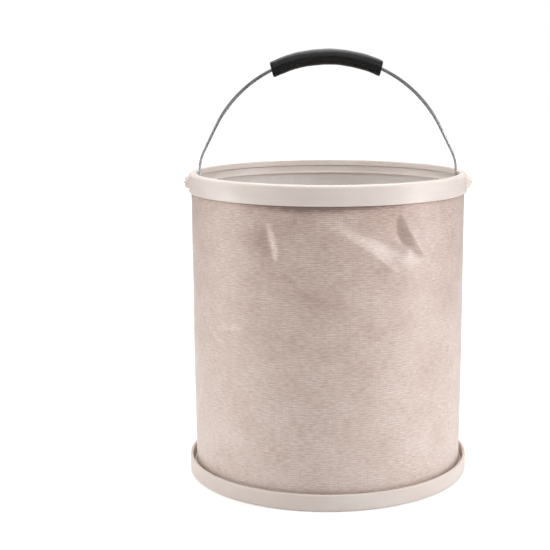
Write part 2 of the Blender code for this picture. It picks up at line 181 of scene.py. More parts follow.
def canvas(name, sheen, roughness, relief_depth, stops):
    """Plain-woven polyester canvas under a thin waterproof coating: pale beige with a soft
    gloss, whiter where the light grazes the fibres, with weft ribs, slubs and a soft mottling."""
    finish, tree, shader = finish_named(name)
    cut = add_node(tree, "ShaderNodeUVMap", uv_map="cloth_cut")["UV"]
    split = add_node(tree, "ShaderNodeSeparateXYZ", [cut])
    # The threads wander a little as they go.
    wander = add_node(tree, "ShaderNodeMapping", {"Vector": cut, "Scale": (45, 220, 1)})[0]
    wander = add_node(tree, "ShaderNodeTexNoise", {"Vector": wander, "Scale": 1.0, "Detail": 3.0})["Fac"]
    # The weft is about 0.5 mm, drawn at 1.7 mm, and the warp at 1.3 mm, so that they show.
    threads = 0.0
    for axis, pitch, drift, height in (("Y", 0.0017, 11.0, 0.055), ("X", 0.0013, 6.0, 0.035)):
        turn = 2 * math.pi / pitch
        turns = add_node(tree, "ShaderNodeMath", [split[axis], turn], operation="MULTIPLY")[0]
        turns = add_node(tree, "ShaderNodeMath", [wander, drift, turns], operation="MULTIPLY_ADD")[0]
        rib = add_node(tree, "ShaderNodeMath", [turns], operation="SINE")[0]
        threads = add_node(tree, "ShaderNodeMath", [rib, height, threads], operation="MULTIPLY_ADD")[0]
    # Slubs, the thick places in the yarn, are dashes some 6 mm long that lie along the weft.
    slubs = add_node(tree, "ShaderNodeMapping", {"Vector": cut, "Scale": (150, 820, 1)})[0]
    slubs = add_node(tree, "ShaderNodeTexNoise",
                     {"Vector": slubs, "Scale": 1.0, "Detail": 2.0, "Roughness": 0.75})["Fac"]
    # The mottling's clouds are about 40 mm across.
    mottle = add_node(tree, "ShaderNodeMapping", {"Vector": cut, "Scale": (24, 30, 1)})[0]
    mottle = add_node(tree, "ShaderNodeTexNoise",
                      {"Vector": mottle, "Scale": 1.0, "Detail": 4.0, "Roughness": 0.62})["Fac"]
    # The ribs come and go in patches, where the coating lies thinner over the threads.
    bare = add_node(tree, "ShaderNodeMapRange", [mottle, 0.35, 0.65, 0.35, 1.5])["Result"]
    threads = add_node(tree, "ShaderNodeMath", [threads, bare], operation="MULTIPLY")[0]
    # Painted highlights on the wall's fold crests and painted shade under the rim, carried by the wall's
    # point attribute.
    painted_fold_shading = add_node(tree, "ShaderNodeAttribute", attribute_name="fold_painted_shading")["Fac"]
    tone = threads
    for part, share in ((slubs, 0.54), (mottle, 0.31), (painted_fold_shading, 0.11)):
        tone = add_node(tree, "ShaderNodeMath", [part, share, tone], operation="MULTIPLY_ADD")[0]
    tone = add_node(tree, "ShaderNodeValToRGB", [tone], stops=stops)["Color"]
    dullness = add_node(tree, "ShaderNodeMapRange",
                        [slubs, 0.3, 0.7, roughness - 0.07, roughness + 0.07])["Result"]
    relief = add_node(tree, "ShaderNodeMath", [slubs, 0.30, threads], operation="MULTIPLY_ADD")[0]
    bumps = add_node(tree, "ShaderNodeBump",
                     {"Height": relief, "Strength": relief_depth, "Distance": 0.0012})["Normal"]
    fill(tree, shader, {"Base Color": tone, "Roughness": dullness, "Normal": bumps, "IOR": 1.48,
                        "Specular IOR Level": 0.80, "Coat Weight": 0.70, "Coat Roughness": 0.45,
                        "Sheen Weight": sheen, "Sheen Roughness": 0.40})
    return finish


def bright_wire():
    """Bright drawn steel wire: hard reflections broken by fine die lines along its length, and
    painted light that makes it paler down its legs than over its arch."""
    finish, tree, shader = finish_named("bright_drawn_steel")
    along = add_node(tree, "ShaderNodeAttribute", attribute_name="along_wire")["Vector"]
    # Die lines are about 0.05 mm apart, drawn at 1 mm so that they show, and some 80 mm long.
    lines = add_node(tree, "ShaderNodeMapping", {"Vector": along, "Scale": (12, 1.6, 1)})[0]
    lines = add_node(tree, "ShaderNodeTexNoise",
                     {"Vector": lines, "Scale": 1.0, "Detail": 4.0, "Roughness": 0.6})["Fac"]
    # Painted light: the tone rises from the grip down the legs, so the legs show paler than the arch.
    way = add_node(tree, "ShaderNodeSeparateXYZ", [along])["X"]
    way = add_node(tree, "ShaderNodeMath", [way], operation="ABSOLUTE")[0]
    leg = add_node(tree, "ShaderNodeMapRange", [way, 0.05, 0.20, -0.35, 0.35])["Result"]
    tone = add_node(tree, "ShaderNodeMath", [lines, leg], operation="ADD")[0]
    tone = add_node(tree, "ShaderNodeValToRGB", [tone],
                    stops=[(0.15, "#75777b"), (0.5, "#b4b6b9"), (0.85, "#dcdde0")])["Color"]
    dullness = add_node(tree, "ShaderNodeMapRange", [lines, 0.3, 0.7, 0.24, 0.34])["Result"]
    bumps = add_node(tree, "ShaderNodeBump", {"Height": lines, "Strength": 0.03, "Distance": 0.0002})[0]
    fill(tree, shader, {"Base Color": tone, "Roughness": dullness, "Normal": bumps, "Metallic": 1.0})
    return finish


def foam():
    """Closed-cell black foam: a dull skin with open pores, greyer where the light grazes it."""
    finish, tree, shader = finish_named("black_closed_cell_foam")
    here = add_node(tree, "ShaderNodeTexCoord")["Object"]
    # Cells are about 0.3 mm, drawn at 0.8 mm so that they show.
    cells = add_node(tree, "ShaderNodeTexVoronoi", {"Vector": here, "Scale": 1250.0})["Distance"]
    # The skin is rubbed in patches 6 mm high and 17 mm long.
    rubbed = add_node(tree, "ShaderNodeMapping", {"Vector": here, "Scale": (60, 160, 160)})[0]
    rubbed = add_node(tree, "ShaderNodeTexNoise",
                      {"Vector": rubbed, "Scale": 1.0, "Detail": 5.0, "Roughness": 0.6})["Fac"]
    tone = add_node(tree, "ShaderNodeValToRGB", [rubbed],
                    stops=[(0.3, "#060505"), (0.55, "#090808"), (0.75, "#100f0e")])["Color"]
    dullness = add_node(tree, "ShaderNodeMapRange", [rubbed, 0.3, 0.7, 0.33, 0.45])["Result"]
    relief = add_node(tree, "ShaderNodeMath", [rubbed, 1.5, cells], operation="MULTIPLY_ADD")[0]
    bumps = add_node(tree, "ShaderNodeBump", {"Height": relief, "Strength": 0.22, "Distance": 0.0005})[0]
    fill(tree, shader, {"Base Color": tone, "Roughness": dullness, "Normal": bumps, "IOR": 1.52,
                        "Specular IOR Level": 0.28, "Sheen Weight": 0.22, "Sheen Roughness": 0.30})
    return finish


def piping():
    """Extruded white vinyl cord, smooth with slight draw lines."""
    finish, tree, shader = finish_named("white_vinyl_piping")
    here = add_node(tree, "ShaderNodeTexCoord")["Object"]
    # Draw lines are about 0.7 mm apart and run round with the cord.
    draw = add_node(tree, "ShaderNodeMapping", {"Vector": here, "Scale": (60, 60, 1500)})[0]
    draw = add_node(tree, "ShaderNodeTexNoise", {"Vector": draw, "Scale": 1.0, "Detail": 3.0})["Fac"]
    tone = add_node(tree, "ShaderNodeValToRGB", [draw], stops=[(0.3, "#e4dfd8"), (0.7, "#eeeae4")])[0]
    dullness = add_node(tree, "ShaderNodeMapRange", [draw, 0.3, 0.7, 0.4, 0.55])["Result"]
    fill(tree, shader, {"Base Color": tone, "Roughness": dullness})
    return finish


# Shop work shared by the pieces

def clear_bench():
    """Leaves edit mode and lets go of every piece."""
    if bpy.context.object and bpy.context.object.mode != "OBJECT":
        bpy.ops.object.mode_set(mode="OBJECT")
    bpy.ops.object.select_all(action="DESELECT")


def take_up(piece):
    """Makes a piece the only one that the next operator works on."""
    clear_bench()
    piece.select_set(True)
    bpy.context.view_layer.objects.active = piece


def arc(centre, radius, start, end, steps):
    """Points on a circle of the outline, angles in degrees from outwards towards up."""
    turns = [math.radians(start + (end - start) * i / steps) for i in range(steps + 1)]
    return [(centre[0] + radius * math.cos(t), centre[1] + radius * math.sin(t)) for t in turns]


def drawn_round(name, outline):
    """Lathe work: a circle at the outline's first point is extruded and sized from point to
    point until it meets itself."""
    clear_bench()
    radius, height = outline[0]
    bpy.ops.mesh.primitive_circle_add(vertices=ROUND_FACES, radius=radius, location=(0, 0, height))
    piece = bpy.context.object
    piece.name = piece.data.name = name
    bpy.ops.object.mode_set(mode="EDIT")
    bpy.ops.mesh.select_mode(type="VERT")
    bpy.ops.mesh.select_all(action="SELECT")
    for r, z in outline[1:] + outline[:1]:
        bpy.ops.mesh.extrude_region_move(TRANSFORM_OT_translate={"value": (0, 0, z - height)})
        bpy.ops.transform.resize(value=(r / radius, r / radius, 1), center_override=(0, 0, 0))
        radius, height = r, z
    tidy_skin()
    bpy.ops.object.transform_apply()
    return piece


def tidy_skin():
    """Closes the seams of the piece being edited and turns its faces outwards."""
    bpy.ops.mesh.select_all(action="SELECT")
    bpy.ops.mesh.remove_doubles(threshold=1e-6)
    bpy.ops.mesh.normals_make_consistent(inside=False)
    bpy.ops.object.mode_set(mode="OBJECT")


def pick_faces(piece, test):
    """Opens the piece for editing with only those faces selected that pass the test, which gets
    a face's middle and its normal."""
    take_up(piece)
    bpy.ops.object.mode_set(mode="EDIT")
    bpy.ops.mesh.select_mode(type="FACE")
    bpy.ops.mesh.select_all(action="DESELECT")
    bpy.ops.object.mode_set(mode="OBJECT")
    for face in piece.data.polygons:
        face.select = test(face.center, face.normal)
    bpy.ops.object.mode_set(mode="EDIT")


def with_tool(piece, tool, operation):
    """Joins or cuts with another solid, which is then thrown away."""
    take_up(piece)
    cut = piece.modifiers.new("tool", "BOOLEAN")
    cut.operation, cut.solver, cut.object = operation, "EXACT", tool
    bpy.ops.object.modifier_apply(modifier=cut.name)
    bpy.data.objects.remove(tool, do_unlink=True)


def drill(radius):
    """A round bar along the bail's pivot axis, longer than the bucket is wide."""
    clear_bench()
    bpy.ops.mesh.primitive_cylinder_add(vertices=48, radius=radius, depth=0.30,
                                        location=(0, 0, PIVOT), rotation=(0, math.pi / 2, 0))
    return bpy.context.object


def hand_over(piece, body, slot, *finishes, replaces=(), smooth_below=32):
    """Smooths a finished piece where it bends less than so many degrees, gives it its finishes
    and sets it on its body."""
    take_up(piece)
    bpy.ops.object.shade_smooth_by_angle(angle=math.radians(smooth_below))
    piece.data.materials.clear()
    for finish in finishes:
        piece.data.materials.append(finish)
    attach(piece, body)
    if replaces:
        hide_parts(*replaces)


# Rim

def rim_ring(ivory):
    """The rim's channel moulding: crowned lip, slightly waisted skirt with a beaded lower edge,
    inner flange and the two bosses for the bail."""
    top, skirt_in, end = RIM_TOP, RIM_R - 0.0017, RIM_SKIRT_END
    flange_out = FLANGE_IN + FLANGE_THICK
    outline = arc((RIM_R - 0.0030, top - 0.0030), 0.0030, 0, 80, 8)
    outline += [(RIM_R - 0.0037, top - 0.00005), (RIM_R - 0.0050, top - 0.00012)]
    outline += arc((FLANGE_IN + 0.0008, top - 0.0008), 0.0008, 100, 180, 5)
    outline += [(FLANGE_IN, top - 0.0050)]
    outline += arc((FLANGE_IN + 0.0004, top - 0.0053), 0.0004, 180, 270, 3)
    outline += arc((flange_out - 0.0004, top - 0.0053), 0.0004, 270, 360, 3)
    outline += [(flange_out, top - 0.0027), (flange_out + 0.0005, top - 0.0022)]
    outline += [(skirt_in - 0.0005, top - 0.0022), (skirt_in, top - 0.0027)]
    outline += [(skirt_in, end + 0.0010)]
    outline += arc((RIM_R - 0.0008, end + 0.0009), 0.0009, 180, 395, 12)
    outline += [(RIM_R - 0.00028, end + 0.0024), (RIM_R - 0.00050, end + 0.0048)]
    outline += [(RIM_R - 0.00050, end + 0.0078), (RIM_R - 0.00030, end + 0.0112)]
    outline += [(RIM_R - 0.00008, end + 0.0135)]
    ring = drawn_round("rim_ring", outline)
    for side in (1, -1):
        with_tool(ring, boss(side), "UNION")
    with_tool(ring, drill(BOSS_BORE_R), "DIFFERENCE")
    hand_over(ring, "rim", "ivory_plastic", ivory, replaces=["rim_outer_ring"])


def boss(side):
    """A round boss, tapered for the mould, with a rounded face and a shallow countersink."""
    root, face = RIM_R - 0.0009, RIM_R + 0.0039
    near_face = face - 0.0001
    clear_bench()
    bpy.ops.mesh.primitive_cylinder_add(vertices=64, radius=0.0068, depth=face - root,
                                        location=(side * (root + face) / 2, 0, PIVOT),
                                        rotation=(0, side * math.pi / 2, 0))
    bpy.ops.object.transform_apply()
    lump = bpy.context.object
    pick_faces(lump, lambda middle, normal: side * normal.x > 0.9 and side * middle.x > near_face)
    bpy.ops.transform.resize(value=(1, 0.84, 0.84), center_override=(side * face, 0, PIVOT))
    bpy.ops.mesh.bevel(offset=0.0009, segments=5, profile=0.6, affect="EDGES")
    bpy.ops.object.mode_set(mode="OBJECT")
    pick_faces(lump, lambda middle, normal: side * normal.x > 0.999 and side * middle.x > near_face)
    bpy.ops.mesh.inset(thickness=0.0019, depth=0)
    bpy.ops.mesh.inset(thickness=0.0005, depth=-0.0005)
    bpy.ops.object.mode_set(mode="OBJECT")
    return lump


def hoop(name, low, high, bead_up, ivory, body, node):
    """A clamp hoop, drafted for the mould, with a rounded bead along the edge that shows."""
    inner, bead = FLANGE_IN + 0.0010, 0.0009
    bead_r = FLANGE_IN + 0.0002 + bead
    start, end = (high, low) if bead_up else (low, high)
    way = 1 if bead_up else -1
    outline = [(r, start - way * bead + way * rise) for r, rise in arc((bead_r, 0), bead, 90, 230, 10)]
    outline += [(inner, start - way * 3 * bead), (inner + 0.0001, end + way * 0.0004),
                (inner + 0.0005, end), (HOOP_R - 0.0004, end), (HOOP_R, end + way * 0.0004),
                (HOOP_R, start - way * 0.0005), (HOOP_R - 0.0005, start)]
    ring = drawn_round(name, outline)
    if body == "rim":
        with_tool(ring, drill(WIRE_HOLE_R), "DIFFERENCE")
    hand_over(ring, body, "ivory_plastic", ivory, replaces=[node])


# Base

def base_ring(ivory):
    """The base moulding: flat foot, outer wall with a full round top, trench and backing rib."""
    foot, foot_in, wall_in = 0.0028, BASE_R - 0.0160, BASE_R - 0.0028
    rib_in, rib_top = CLOTH_R + 0.0004, 0.0085
    rib_out = rib_in + 0.0016
    outline = [(foot_in, foot - 0.0005), (foot_in, 0.0005), (foot_in + 0.0005, 0.0)]
    outline += [(foot_in + 0.0040, 0.0), (BASE_R - 0.0060, 0.0)]
    outline += arc((BASE_R - 0.0022, 0.0022), 0.0022, -90, -6, 8)
    outline += [(BASE_R - 0.00015, 0.0060), (BASE_R - 0.00022, 0.0095), (BASE_R - 0.00008, 0.0128)]
    outline += arc((BASE_R - 0.0013, BASE_TOP - 0.0013), 0.0013, 0, 90, 6)
    outline += arc((wall_in + 0.0012, BASE_TOP - 0.0012), 0.0012, 90, 180, 5)
    outline += [(wall_in, foot + 0.0009)] + arc((wall_in - 0.0005, foot + 0.0005), 0.0005, 0, -90, 3)
    outline += [(rib_out + 0.0004, foot), (rib_out, foot + 0.0004)]
    outline += arc((rib_out - 0.0005, rib_top), 0.0005, 0, 90, 3)
    outline += arc((rib_in + 0.0005, rib_top), 0.0005, 90, 180, 3)
    outline += [(rib_in, foot + 0.0003), (rib_in - 0.0003, foot), (foot_in + 0.0005, foot)]
    ring = drawn_round("base_ring", outline)
    hand_over(ring, "base", "ivory_plastic", ivory, replaces=["base_outer_ring"])


# Cloth

def smooth_step(x):
    """Rises softly from 0 to 1 as x does, and stays level outside that."""
    x = np.clip(x, 0, 1)
    return x * x * (3 - 2 * x)


def facet(arc_mm, z_mm, left_edge, right_edge, slope, left, right):
    """A sharp crease between two bent edges that run from its top to its bottom: a flat facet
    with a valley on its left and a ridge on its right, or the other way round when the slope is
    negative. Both die away sideways, and the ridge stays level with the cloth round it."""
    (ax, az), (bx, bz) = left_edge[0], left_edge[-1]
    length = math.hypot(bx - ax, bz - az)
    ux, uz = (bx - ax) / length, (bz - az) / length
    along = (arc_mm - ax) * ux + (z_mm - az) * uz
    across = (arc_mm - ax) * -uz + (z_mm - az) * ux
    sides = []
    for edge in (left_edge, right_edge):
        runs = [(x - ax) * ux + (z - az) * uz for x, z in edge]
        sides.append(np.interp(along, runs, [(x - ax) * -uz + (z - az) * ux for x, z in edge]))
    half = np.maximum((sides[1] - sides[0]) / 2, 0.3)
    across = across - (sides[0] + sides[1]) / 2
    shape = np.clip(across / half, -1, 1)
    shape = np.where(across < -half, -np.exp((across + half) / left), shape)
    shape = np.where(across > half, np.exp(-(across - half) / right), shape)
    reach = 2 * np.where(across < 0, left, right)
    hollow = np.exp(-(across / reach) ** 2)
    # The crease starts sharply at its top and runs out softly at its bottom.
    ends = smooth_step(along / length / 0.12) * smooth_step((1 - along / length) / 0.30)
    return half * ends * (slope * shape - abs(slope) * hollow)


def ridge(arc_mm, z_mm, points, height, upper, lower):
    """A soft fold along a bent line, with its own fall on each side of the crest."""
    best = np.full_like(arc_mm, 1e9)
    side = np.zeros_like(arc_mm)
    place = np.zeros_like(arc_mm)
    total = sum(math.hypot(b[0] - a[0], b[1] - a[1]) for a, b in zip(points, points[1:]))
    run = 0.0
    for (ax, az), (bx, bz) in zip(points, points[1:]):
        length = math.hypot(bx - ax, bz - az)
        ux, uz = (bx - ax) / length, (bz - az) / length
        t = np.clip((arc_mm - ax) * ux + (z_mm - az) * uz, 0, length)
        dx, dz = arc_mm - ax - t * ux, z_mm - az - t * uz
        far = np.hypot(dx, dz)
        near = far < best
        best = np.where(near, far, best)
        side = np.where(near, dz, side)
        place = np.where(near, (run + t) / total, place)
        run += length
    fall = np.where(side > 0, upper, lower)
    return height * np.exp(-(best / fall) ** 2) * np.sin(np.pi * np.clip(place, 0.04, 0.96)) ** 0.6


def soft_noise(arc_mm, z_mm, seed, count, low, high, flatten):
    """Chance ripples of the cloth: a sum of waves of seeded length and direction. The arc is
    taken round the full turn, so that they meet at the seam."""
    draw = np.random.default_rng(seed)
    around = arc_mm / (CLOTH_R * 1000)
    total = np.zeros_like(arc_mm)
    for _ in range(count):
        wave = draw.uniform(low, high)
        turns = round(draw.uniform(0.3, 1.0) * 2 * math.pi * CLOTH_R * 1000 / wave * flatten)
        climb = 2 * math.pi / wave * draw.uniform(0.4, 1.0) * draw.choice((-1, 1))
        total += np.sin(turns * around + climb * z_mm + draw.uniform(0, 2 * math.pi))
    return total / math.sqrt(count)


# The wall's creases, read off the photograph in front and guessed at the back. Each place is a
# bearing in degrees from the front and a height in mm.

# A sharp crease is a flat facet: its left edge, its right edge, its slope, and over how many mm
# it dies away to its left and to its right.
SHARP_CREASES = [
    (((28.0, 263), (29.0, 251), (30.4, 241.9), (32.9, 233.6), (36.9, 226.0), (43.6, 216)),
     ((28.8, 263), (32.4, 251), (34.6, 241.9), (37.0, 233.6), (40.2, 225.4), (43.8, 216)), 0.68, 6, 12),
    (((-4, 254.8), (2.7, 249.8), (8.4, 241.5), (14.3, 232.7), (19.6, 225.1), (30, 206)),
     ((-4, 255.6), (2.7, 252.4), (8.4, 247.4), (14.3, 242.1), (21, 237.0), (32, 225)), -0.70, 10, 12),
    (((-24.4, 256), (-25.2, 246), (-24.4, 238), (-22.8, 229), (-20.2, 216)),
     ((-23.8, 256), (-21.2, 246), (-20.2, 238), (-19.4, 229), (-20.0, 216)), 0.50, 6, 9),
    (((-136, 256), (-139, 246), (-143, 236), (-148, 222)),
     ((-135.6, 256), (-136, 246), (-140, 236), (-147.6, 222)), 0.6, 12, 12),
    (((114, 245), (123, 234), (130, 225), (140, 210)),
     ((114.4, 246), (127, 237.5), (135, 229), (141, 211)), -0.55, 8, 7)]

# A soft fold has a crest: its line, its height in mm, and its fall in mm above and below.
SOFT_FOLDS = [
    (((-32, 267), (-20, 261), (-6, 255)), -2.2, 4, 7),
    (((-14, 264), (5, 262), (26, 265)), -2.0, 4, 6),
    (((-28, 203), (-10.7, 196), (2, 184)), -1.6, 3.0, 8),
    (((4, 170), (11, 166), (18, 160)), -1.2, 4, 8),
    (((-50, 154), (-42, 157), (-34, 160)), 0.7, 2.5, 3.5),
    (((-56, 152), (-50, 145), (-44, 138)), 0.8, 3, 4),
    (((15, 141), (23, 138)), -0.6, 2.5, 4),
    (((-24, 65), (-18, 63)), -0.6, 3, 4),
    (((-64, 100), (-73, 62), (-83, 26)), 0.4, 5, 5),
    (((146, 262), (160, 254), (174, 250)), -1.4, 5, 8),
    (((-112, 262), (-98, 258), (-84, 261)), -1.2, 5, 7),
    (((92, 264), (104, 259), (114, 262)), -1.1, 5, 7),
    (((-170, 190), (-158, 180), (-150, 166)), -0.6, 4, 7),
    (((96, 120), (108, 126), (120, 124)), 0.4, 3, 5)]

# Painted highlights along the folds' crests, and painted shade where the value is below zero, as under
# the
# rim: the line, how pale, and its fall in mm above and below.
PAINTED_SHADING_LINES = [
    (((-23.4, 252), (-22.8, 243), (-21.8, 234), (-20.6, 222)), 1.2, 3.5, 3.5),
    (((-2, 254), (5.5, 249), (12, 241), (20, 231), (28, 224), (37, 218)), 1.1, 5, 6),
    (((16, 236), (22, 229), (29, 226), (38, 218)), 1.2, 7, 8),
    (((31, 258), (35, 246), (38, 235), (43, 222)), 0.5, 2.2, 2.2),
    (((-50, 154), (-42, 157), (-34, 160)), 0.8, 1.8, 1.8),
    (((-56, 152), (-50, 145), (-44, 138)), 0.7, 2.0, 2.0),
    (((-64, 100), (-73, 62), (-83, 26)), 0.5, 3.0, 3.0),
    (((115, 245), (125, 236), (132, 227), (141, 211)), 0.6, 3.0, 3.0),
    (((-26, 206), (-16.6, 208), (-9, 193), (2.7, 181)), -0.6, 2.5, 3.5),
    (((-36, 270), (-14, 268), (5, 268), (30, 271)), -2.7, 5.0, 5.0),
    (((140, 270), (160, 268), (184, 269)), -1.8, 5.0, 4.5)]


def wall_relief(bearing, z):
    """How far the wall's cloth stands off its cylinder, in metres, and the painted highlights and
    shade on its folds and under the rim, at a bearing from the front and a height."""
    r = CLOTH_R * 1000
    arc_mm, z_mm = bearing * r, z * 1000

    def line(places):
        return [(math.radians(degrees) * r, height) for degrees, height in places]

    low, high = BASE_TOP * 1000, RIM_SKIRT_END * 1000
    share = np.clip((z_mm - low) / (high - low), 0, 1)
    # The rings hold the cloth round, so its folds fade towards them. Its lower half bellies out.
    free = smooth_step((high - 1.5 - z_mm) / 12 + 0.1) * smooth_step((z_mm - low) / 14)
    belly = 0.75 * np.sin(np.pi * share) * smooth_step((0.75 - share) / 0.5)
    folds = 0
    for left_edge, right_edge, *shape in SHARP_CREASES:
        folds += facet(arc_mm, z_mm, line(left_edge), line(right_edge), *shape)
    for places, *shape in SOFT_FOLDS:
        folds += ridge(arc_mm, z_mm, line(places), *shape)
    # Chance ripples are some 70 mm long and, finer, some 18 mm.
    ripples = 0.10 * soft_noise(arc_mm, z_mm, 11, 9, 46, 90, 0.45)
    ripples += 0.035 * soft_noise(arc_mm, z_mm, 23, 12, 11, 24, 0.7)
    # The bucket packs flat along level folds, and the cloth remembers them faintly.
    for fold in (0.26, 0.52, 0.77):
        off = (share - fold) * (high - low) + 1.5 * np.sin(3 * bearing + 9 * fold)
        ripples -= 0.10 * np.exp(-(off / 1.6) ** 2)
    painted_shading = 0
    for places, *shape in PAINTED_SHADING_LINES:
        painted_shading += ridge(arc_mm, z_mm, line(places), *shape)
    # Painted light: the cloth is painted darker towards the top and paler towards the base, with a
    # painted shadow as a dark band right under the rim's skirt.
    painted_shading += 1.5 * (0.45 - share) - 1.8 * np.exp(-(high - 0.4 - z_mm) / 1.2)
    return (belly + free * (folds + ripples)) / 1000, painted_shading


def roll_strip(piece, low, high, dressed):
    """Rolls a flat strip of cloth into the wall, its end lapped over its start. The flat places
    of the cut become the piece's own map, in metres, so that the weave follows the cloth."""
    mesh = piece.data
    flat = np.empty(len(mesh.vertices) * 3)
    mesh.vertices.foreach_get("co", flat)
    flat = flat.reshape(-1, 3)
    across = flat[:, 0] + 0.5
    up = flat[:, 1] + 0.5
    if dressed:
        up = up + 0.35 * np.sin(math.pi * up) / math.pi
    height = low + up * (high - low)
    whole_turn = 2 * math.pi + SEAM_LAP / CLOTH_R
    # Columns and rows are closer together at the upper front, where the creases are sharpest.
    middle = 2 * across - 1
    turned = (middle - 0.45 * np.sin(math.pi * middle) / math.pi) / 2 + 0.5
    bearing = SEAM_BEARING - 2 * math.pi + turned * whole_turn
    relief, painted_shading = wall_relief(bearing, height)
    radius = CLOTH_R - CLOTH / 2 + (relief if dressed else 0 * height)
    # At the lap the outer layer stands out and the inner layer gives way, each by its offset.
    over = smooth_step((bearing - (SEAM_BEARING - 0.004)) * CLOTH_R / 0.0012)
    under = 1 - smooth_step(((bearing - SEAM_BEARING + 2 * math.pi) * CLOTH_R - SEAM_LAP) / 0.004)
    radius = radius + (over - under) * LAP_OFFSET
    rolled = np.stack([radius * np.sin(bearing), -radius * np.cos(bearing), height], axis=1)
    mesh.vertices.foreach_set("co", rolled.ravel())
    cut = np.stack([bearing * CLOTH_R, height], axis=1)
    corners = np.empty(len(mesh.loops), dtype=np.int32)
    mesh.loops.foreach_get("vertex_index", corners)
    layer = mesh.uv_layers[0] if mesh.uv_layers else mesh.uv_layers.new()
    layer.name = "cloth_cut"
    layer.data.foreach_set("uv", cut[corners].ravel())
    # The painted highlights and shade go with the cloth as an attribute of its points.
    mesh.attributes.new("fold_painted_shading", "FLOAT", "POINT").data.foreach_set("value", painted_shading)
    mesh.update()


def cloth_strip(name, columns, rows, low, high, dressed):
    """A strip of cloth rolled round the rings between two heights. Dressed, it has the wall's
    creases, and otherwise it lies smooth."""
    clear_bench()
    bpy.ops.mesh.primitive_grid_add(x_subdivisions=columns, y_subdivisions=rows, size=1)
    strip = bpy.context.object
    strip.name = strip.data.name = name
    roll_strip(strip, low, high, dressed)
    give_thickness(strip)
    return strip


def give_thickness(piece):
    """Turns a sheet into cloth of the right thickness, half of it to each side."""
    take_up(piece)
    body = piece.modifiers.new("thickness", "SOLIDIFY")
    body.thickness, body.offset = CLOTH, 0.0
    bpy.ops.object.modifier_apply(modifier=body.name)


def coat_inside(piece):
    """The faces that look at the bucket's axis take the second material, the coated side."""
    for face in piece.data.polygons:
        middle, normal = face.center, face.normal
        face.material_index = int(middle.x * normal.x + middle.y * normal.y < 0)


def wall_cloth(outside, inside):
    """The wall up to the rim's hoop, set on the base, and its upper hem, which the hoop holds
    in the rim."""
    wall = cloth_strip("wall_cloth", WALL_COLUMNS, WALL_ROWS, WALL_BOTTOM, HEM_JOINT, True)
    collar = cloth_strip("wall_upper_hem", HEM_COLUMNS, HEM_ROWS, HEM_JOINT + HEM_GAP, WALL_TOP, False)
    with_tool(collar, drill(WIRE_HOLE_R), "DIFFERENCE")
    hand_over(wall, "base", "coated_cloth", outside, inside, replaces=["wall_panel"], smooth_below=60)
    hand_over(collar, "rim", "coated_cloth", outside, inside)
    coat_inside(wall)
    coat_inside(collar)
    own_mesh(wall)


def floor_cloth(outside, inside):
    """The floor: a disc of the same cloth that sags a little between the hoops, puckered where
    the hoop grips it."""
    clear_bench()
    middle = (FLOOR[0].z + FLOOR[1].z) / 2
    bpy.ops.mesh.primitive_circle_add(vertices=144, radius=HOOP_R, fill_type="NGON",
                                      location=(0, 0, middle))
    disc = bpy.context.object
    disc.name = disc.data.name = "floor_cloth"
    bpy.ops.object.mode_set(mode="EDIT")
    bpy.ops.mesh.select_mode(type="FACE")
    bpy.ops.mesh.select_all(action="SELECT")
    for _ in range(FLOOR_RINGS):
        bpy.ops.mesh.inset(thickness=HOOP_R / (FLOOR_RINGS + 1), depth=0)
    bpy.ops.mesh.poke()
    bpy.ops.object.mode_set(mode="OBJECT")
    bpy.ops.object.transform_apply()
    layer = disc.data.uv_layers[0] if disc.data.uv_layers else disc.data.uv_layers.new()
    layer.name = "cloth_cut"
    for loop in disc.data.loops:
        place = disc.data.vertices[loop.vertex_index].co
        layer.data[loop.index].uv = (place.x, place.y)
    pucker_height, sag_depth, wave_height = 0.00030, 0.0006, 0.00025
    for vertex in disc.data.vertices:
        x, y = vertex.co.x, vertex.co.y
        far = math.hypot(x, y) / HOOP_R
        turn = math.atan2(y, x)
        pucker = pucker_height * math.sin(17 * turn + 2 * math.sin(3 * turn))
        near_hoop = math.exp(-((far - 0.86) / 0.10) ** 2)
        sag = -sag_depth * (1 - min(1.0, far / 0.93) ** 2)
        wave = wave_height * math.sin(31 * x + 1.0) * math.sin(42 * y + 26 * x)
        calm = max(0.0, 1 - (far / 0.95) ** 8)
        vertex.co.z += (near_hoop * pucker + sag + wave) * calm
    give_thickness(disc)
    hand_over(disc, "base", "coated_cloth", outside, inside, replaces=["floor_panel"], smooth_below=60)
    for face in disc.data.polygons:
        face.material_index = int(face.normal.z > 0)


# Bail

def bail_line():
    """Centre line of the right half of the wire, from its end to the top of the arch, in heights
    above the pivot."""
    leg = ARCH_R + LEG_OUT
    down = ARCH_CENTRE - PIVOT
    slope = math.radians(SHOULDER)
    sx, sz = ARCH_R * math.cos(slope), ARCH_R * math.sin(slope) + down
    corner = sz - (leg - sx) / math.tan(slope)
    line = [(WIRE_END, 0.0), (WIRE_END - 0.0005, 0.0), (WIRE_END - 0.004, 0.0)]
    line += arc((leg + STUB_BEND, STUB_BEND), STUB_BEND, 270, 180, 10)
    bend_height = corner - SHOULDER_BEND * math.tan(slope / 2)
    line += arc((leg - SHOULDER_BEND, bend_height), SHOULDER_BEND, 0, SHOULDER, 14)
    line += arc((0, down), ARCH_R, SHOULDER, 90, 63)
    return line


